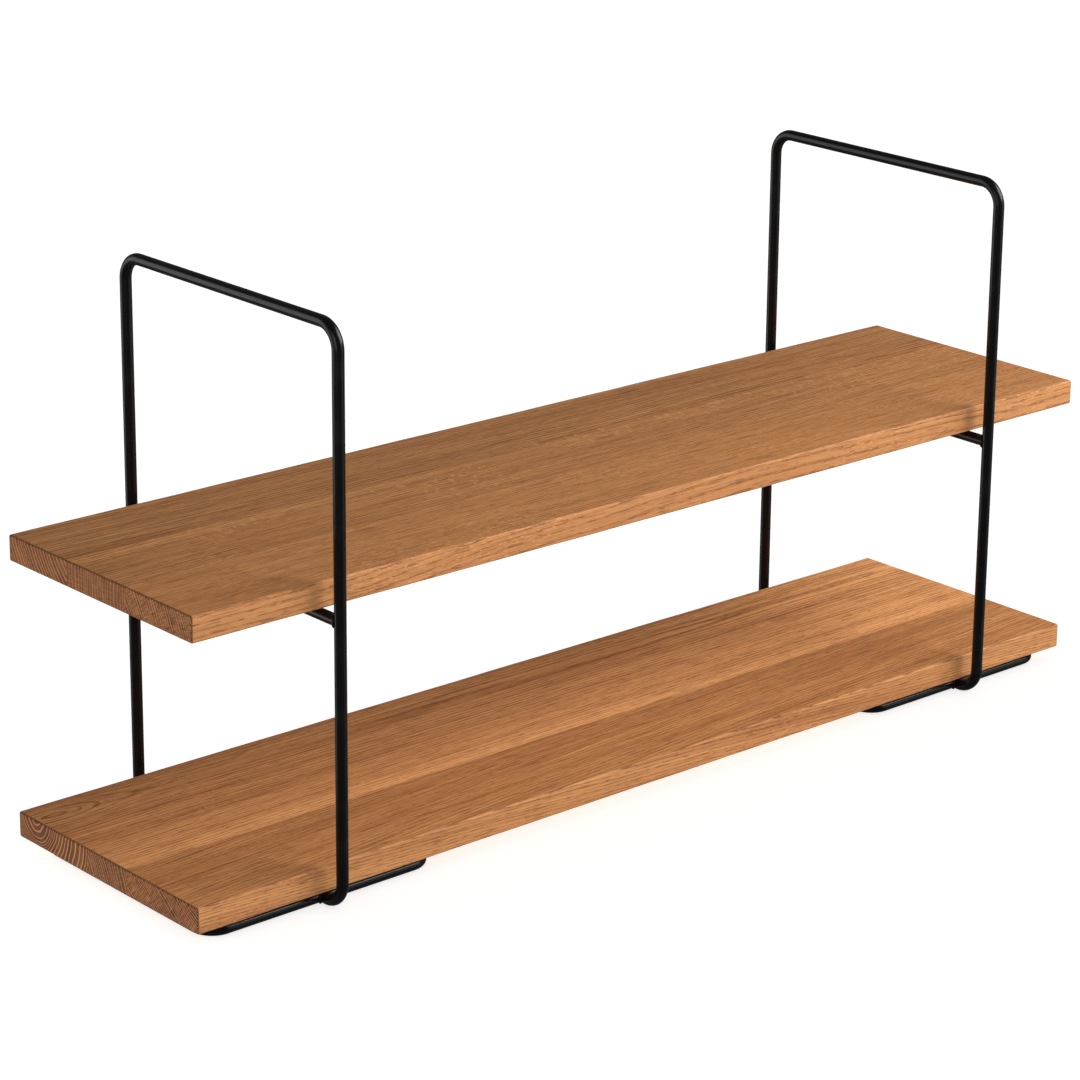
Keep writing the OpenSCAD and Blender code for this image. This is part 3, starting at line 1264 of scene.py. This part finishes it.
    def stitches(self) -> list[bpy.types.Object]:
        """The two weld stitches in the corner between the back upright and the wall plate.

        Returns:
            The stitches.
        """
        low, high = node_box(f"{self.name}_wall_plate")
        inward = -float(self.side.value)
        height = float(high[2] - low[2])
        depth = float(self.upright_y - low[1])
        corner_x = self.plane_x + inward * (math.sqrt(self.rod_r**2 - depth**2) + 0.5 * MM)
        made = []
        for share in (0.25, 0.75):
            along = np.linspace(-0.5, 0.5, 60)
            swell = np.sqrt(np.maximum(1 - (2 * along) ** 4, 0.02))
            thick = self.stitch * swell * (1 + 0.08 * np.sin(2 * math.pi * 9 * along))
            z = high[2] - share * height + along * height / 4
            angle = spaced(0, 2 * math.pi, 14)
            grid = np.stack(
                [
                    corner_x + thick[:, None] * np.cos(angle),
                    float(low[1]) + thick[:, None] * np.sin(angle),
                    np.broadcast_to(z[:, None], (len(z), len(angle))),
                ],
                axis=-1,
            )
            made.append(surface(f"stitch_{share}", grid, closed_path=False))
        return made


def joined(name: str, pieces: list[bpy.types.Object]) -> bpy.types.Object:
    """Joins pieces that share a material into one object.

    Args:
        name: the new object's name.
        pieces: the pieces, which are removed.

    Returns:
        The joined object.
    """
    work = bmesh.new()
    for piece in pieces:
        work.from_mesh(piece.data)
    mesh = bpy.data.meshes.new(name)
    work.to_mesh(mesh)
    work.free()
    for piece in pieces:
        old = piece.data
        bpy.data.objects.remove(piece)
        bpy.data.meshes.remove(old)
    made = bpy.data.objects.new(name, mesh)
    bpy.context.scene.collection.objects.link(made)
    return made


def eased_copy(node: str, width: float) -> bpy.types.Object:
    """A copy of a node with its doubled points merged and its sharp edges eased.

    Args:
        node: the node.
        width: width of the easing, in metres.

    Returns:
        The copy.
    """
    sharp = math.radians(34)
    work = bmesh.new()
    work.from_mesh(bpy.data.objects[node].data)
    bmesh.ops.remove_doubles(work, verts=work.verts, dist=0.002 * MM)
    bmesh.ops.dissolve_limit(work, angle_limit=math.radians(0.8), verts=work.verts, edges=work.edges)
    mesh = bpy.data.meshes.new(f"{node}_eased")
    work.to_mesh(mesh)
    work.free()
    mesh.polygons.foreach_set("use_smooth", np.ones(len(mesh.polygons), dtype=bool))
    mesh.set_sharp_from_angle(angle=sharp)
    made = bpy.data.objects.new(f"{node}_eased", mesh)
    bpy.context.scene.collection.objects.link(made)
    bevel = made.modifiers.new("Eased", "BEVEL")
    bevel.width = width
    bevel.segments = 2
    bevel.limit_method = "ANGLE"
    bevel.angle_limit = sharp
    bevel.harden_normals = True
    return made


@dataclass(frozen=True)
class Fixings:
    """The saddles under the boards and their screws.

    Attributes:
        nylon: the saddles' material.
        zinc: the screws' material.
        saddle_easing: width of the saddles' eased edges, in metres.
        screw_easing: width of the screws' eased edges.
    """

    nylon: bpy.types.Material
    zinc: bpy.types.Material
    saddle_easing: float = 0.30 * MM
    screw_easing: float = 0.08 * MM

    def build(self) -> None:
        """Builds every saddle and both sets of screws."""
        for level in ("upper", "lower"):
            for side in Side:
                for place in ("front", "back"):
                    node = f"{side.name.lower()}_{level}_{place}_saddle"
                    dress(eased_copy(node, self.saddle_easing), self.nylon, "saddle_nylon", node)
            node = f"{level}_saddle_screws"
            dress(eased_copy(node, self.screw_easing), self.zinc, "screw_zinc", node)


# --------------------------------------------------------------------------------------------------
# Studio
# --------------------------------------------------------------------------------------------------


@dataclass(frozen=True)
class Softbox:
    """A soft light that looks at the shelf.

    Attributes:
        name: its name.
        azimuth: its direction round the shelf in degrees, 0 in front and positive to the right.
        elevation: its height in degrees.
        distance: its distance in metres.
        size: its width and height in metres.
        power: its power in watts.
        colour: its colour.
        lights_floor: whether it lights the floor alone rather than the shelf alone.
    """

    name: str
    azimuth: float
    elevation: float
    distance: float
    size: tuple[float, float]
    power: float
    colour: Colour = (1.0, 1.0, 1.0)
    lights_floor: bool = False

    def build(self, aim: Vector, floor: bpy.types.Object) -> None:
        """Makes the light.

        Args:
            aim: the point that it looks at.
            floor: the floor.
        """
        lamp = bpy.data.lights.new(self.name, "AREA")
        lamp.shape = "RECTANGLE"
        lamp.size, lamp.size_y = self.size
        lamp.energy = self.power
        lamp.color = self.colour
        made = bpy.data.objects.new(self.name, lamp)
        away = direction(self.azimuth, self.elevation)
        made.location = aim + away * self.distance
        made.rotation_mode = "QUATERNION"
        made.rotation_quaternion = (-away).to_track_quat("-Z", "Y")
        bpy.context.scene.collection.objects.link(made)
        receivers = bpy.data.collections.new(f"{self.name}_receivers")
        receivers.objects.link(floor)
        if not self.lights_floor:
            receivers.collection_objects[0].light_linking.link_state = "EXCLUDE"
        made.light_linking.receiver_collection = receivers


def direction(azimuth: float, elevation: float) -> Vector:
    """The direction from the shelf to a point round it.

    Args:
        azimuth: degrees round the shelf, 0 in front and positive to the right.
        elevation: degrees above the horizon.

    Returns:
        A vector of length 1.
    """
    a, e = math.radians(azimuth), math.radians(elevation)
    return Vector((math.sin(a) * math.cos(e), -math.cos(a) * math.cos(e), math.sin(e)))


@dataclass(frozen=True)
class Studio:
    """The pale floor, the soft lights and the camera.

    Attributes:
        azimuth: the camera's direction in degrees.
        elevation: its height in degrees.
        roll: its roll in degrees.
        distance: its distance in metres.
        aim_offset: where it aims, from the shelf's middle, in metres.
        lens: its focal length in mm.
        shift_y: its upward shift.
        floor_size: side of the floor in metres.
        floor_gap: how far the floor lies below the feet, in metres.
        sky: strength of the surroundings as a light.
    """

    azimuth: float = -41.15
    elevation: float = 17.45
    roll: float = 0.52
    distance: float = 2.495
    aim_offset: Place = (-0.0155, 0.0226, 0.0217)
    lens: float = 120.0
    shift_y: float = -0.08
    floor_size: float = 40.0
    floor_gap: float = 0.1 * MM
    sky: float = 0.14

    def build(self) -> None:
        """Makes everything in the studio."""
        low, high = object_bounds()
        middle = (low + high) / 2
        self.build_camera(middle + Vector(self.aim_offset))
        floor = self.build_floor(low.z - self.floor_gap)
        self.build_sky()
        key = Softbox(
            name="key_softbox",
            azimuth=47,
            elevation=34,
            distance=2.4,
            size=(1.9, 1.7),
            power=98,
            colour=(1.0, 0.985, 0.965),
        )
        side = Softbox(
            name="side_softbox", azimuth=-70, elevation=14, distance=2.0, size=(1.2, 1.2), power=9
        )
        over = Softbox(
            name="floor_softbox",
            azimuth=0,
            elevation=90,
            distance=4.0,
            size=(14.0, 14.0),
            power=120,
            lights_floor=True,
        )
        for lamp in (key, side, over):
            lamp.build(middle, floor)

    def build_camera(self, aim: Vector) -> None:
        """Makes the camera.

        Args:
            aim: the point that it looks at.
        """
        data = bpy.data.cameras.new("camera")
        data.lens = self.lens
        data.sensor_width = 36.0
        data.shift_y = self.shift_y
        data.clip_start, data.clip_end = 0.1, 100.0
        made = bpy.data.objects.new("camera", data)
        back = direction(self.azimuth, self.elevation)
        made.matrix_world = (
            Matrix.Translation(aim + back * self.distance)
            @ (-back).to_track_quat("-Z", "Y").to_matrix().to_4x4()
            @ Matrix.Rotation(math.radians(self.roll), 4, "Z")
        )
        bpy.context.scene.collection.objects.link(made)
        bpy.context.scene.camera = made

    def build_floor(self, height: float) -> bpy.types.Object:
        """Makes the floor, which gloss doesn't mirror.

        Args:
            height: its height in metres.

        Returns:
            The floor.
        """
        half = self.floor_size / 2
        mesh = bpy.data.meshes.new("floor")
        mesh.from_pydata(
            [(-half, -half, height), (half, -half, height), (half, half, height), (-half, half, height)],
            [],
            [(0, 1, 2, 3)],
        )
        made = bpy.data.objects.new("floor", mesh)
        bpy.context.scene.collection.objects.link(made)
        made.data.materials.append(FloorFinish().material("pale_floor"))
        made.visible_glossy = False
        made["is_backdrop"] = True
        return made

    def build_sky(self) -> None:
        """Makes the surroundings: white to the camera; as a light, dim with two bright walls, one behind
        the shelf on the left and one before it on the right.
        """
        sky = Sky("studio")
        behind = sky.patch(azimuth=-138, elevation=2, reach=30, edge=14) * 2.2
        before = sky.patch(azimuth=42, elevation=-2, reach=24, edge=12) * 0.9
        bpy.context.scene.world = sky.light(to_camera=1.0, to_rest=behind + before + self.sky)
        bpy.context.scene.view_settings.view_transform = "Standard"


# --------------------------------------------------------------------------------------------------
# The shelf
# --------------------------------------------------------------------------------------------------


def upper_board() -> Board:
    """The upper board: three staves with straight grain, the front two with ray flecks.

    Returns:
        The board.
    """
    streak = Swelling(x=-260, y=26, z=9, length=230, width=5, lift=0.40)
    back = OakFinish(
        pith_y=-84,
        pith_z=46,
        drift_y=-8,
        drift_z=6,
        start_z=0,
        ring=3.0,
        tone=0.78,
        warmth=0.3,
        contrast=1.0,
        flecks=0.30,
        end_arcs=0.60,
        end_rays=0.30,
        seed=1.0,
    )
    middle = OakFinish(
        pith_y=-130,
        pith_z=-4,
        drift_y=14,
        drift_z=-4,
        start_z=0,
        ring=2.8,
        tone=0.88,
        warmth=0.4,
        contrast=0.9,
        flecks=0.85,
        end_arcs=0.45,
        end_rays=0.50,
        seed=2.0,
        streaks=(streak,),
    )
    front = OakFinish(
        pith_y=150,
        pith_z=-75,
        drift_y=-4,
        drift_z=2,
        start_z=0,
        ring=2.1,
        tone=1.00,
        warmth=0.4,
        contrast=0.45,
        flecks=1.00,
        end_arcs=0.55,
        end_rays=0.90,
        seed=3.0,
        wave=0.8,
    )
    return Board(
        "upper",
        (
            Stave("upper_stave_back", back, back_outside=True),
            Stave("upper_stave_middle", middle),
            Stave("upper_stave_front", front, front_outside=True),
        ),
        seed=1.0,
    )


def lower_board() -> Board:
    """The lower board: a plain-sawn back stave with curved rings, then two rift-sawn ones. The back and
    middle staves get a raised tone as painted light, making up for the shade that the upper board casts on
    them.

    Returns:
        The board.
    """
    knot = Swelling(x=-382, y=20, z=4, length=30, width=13, lift=-9)
    streak = Swelling(x=0, y=-16, z=9, length=500, width=8, lift=0.30)
    back = OakFinish(
        pith_y=20,
        pith_z=15,
        drift_y=-8,
        drift_z=6,
        start_z=6,
        ring=3.3,
        # painted light: this raised tone lightens the back stave to make up for the shade that the upper
        # board casts on it
        tone=1.36,
        warmth=0.0,
        contrast=1.1,
        flecks=0.30,
        end_arcs=0.90,
        end_rays=0.25,
        seed=4.0,
        knots=(knot,),
    )
    middle = OakFinish(
        pith_y=70,
        pith_z=-30,
        drift_y=10,
        drift_z=-4,
        start_z=0,
        ring=2.6,
        # painted light: this raised tone lightens the middle stave to make up for the shade that the upper
        # board casts on it
        tone=1.42,
        warmth=-0.1,
        contrast=0.7,
        flecks=0.30,
        end_arcs=0.60,
        end_rays=0.50,
        seed=5.0,
        streaks=(streak,),
    )
    front = OakFinish(
        pith_y=-150,
        pith_z=190,
        drift_y=20,
        drift_z=-30,
        start_z=0,
        ring=1.9,
        tone=0.95,
        warmth=0.5,
        contrast=0.9,
        flecks=0.50,
        end_arcs=0.90,
        end_rays=1.30,
        seed=6.0,
    )
    return Board(
        "lower",
        (
            Stave("lower_stave_back", back, back_outside=True),
            Stave("lower_stave_middle", middle),
            Stave("lower_stave_front", front, front_outside=True),
        ),
        seed=2.0,
    )


def main() -> None:
    """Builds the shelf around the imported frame."""
    logging.basicConfig(level=logging.INFO, format="%(name)s: %(message)s")
    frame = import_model()
    LOG.info("the frame has %d nodes", len(frame["nodes"]))
    Studio().build()
    for board in (upper_board(), lower_board()):
        board.build()
    rods = CoatFinish().material("black_powder_coat")
    welds = CoatFinish(gloss_rough=0.38, peel_mm=0.9).material("coated_weld")
    plates = CoatFinish(gloss_rough=0.36, peel_mm=1.3).material("coated_plate")
    for side in Side:
        Bracket(side, rods, welds, plates).build()
    Fixings(NylonFinish().material("black_nylon"), ZincFinish().material("black_zinc")).build()


if __name__ == "__main__":
    main()
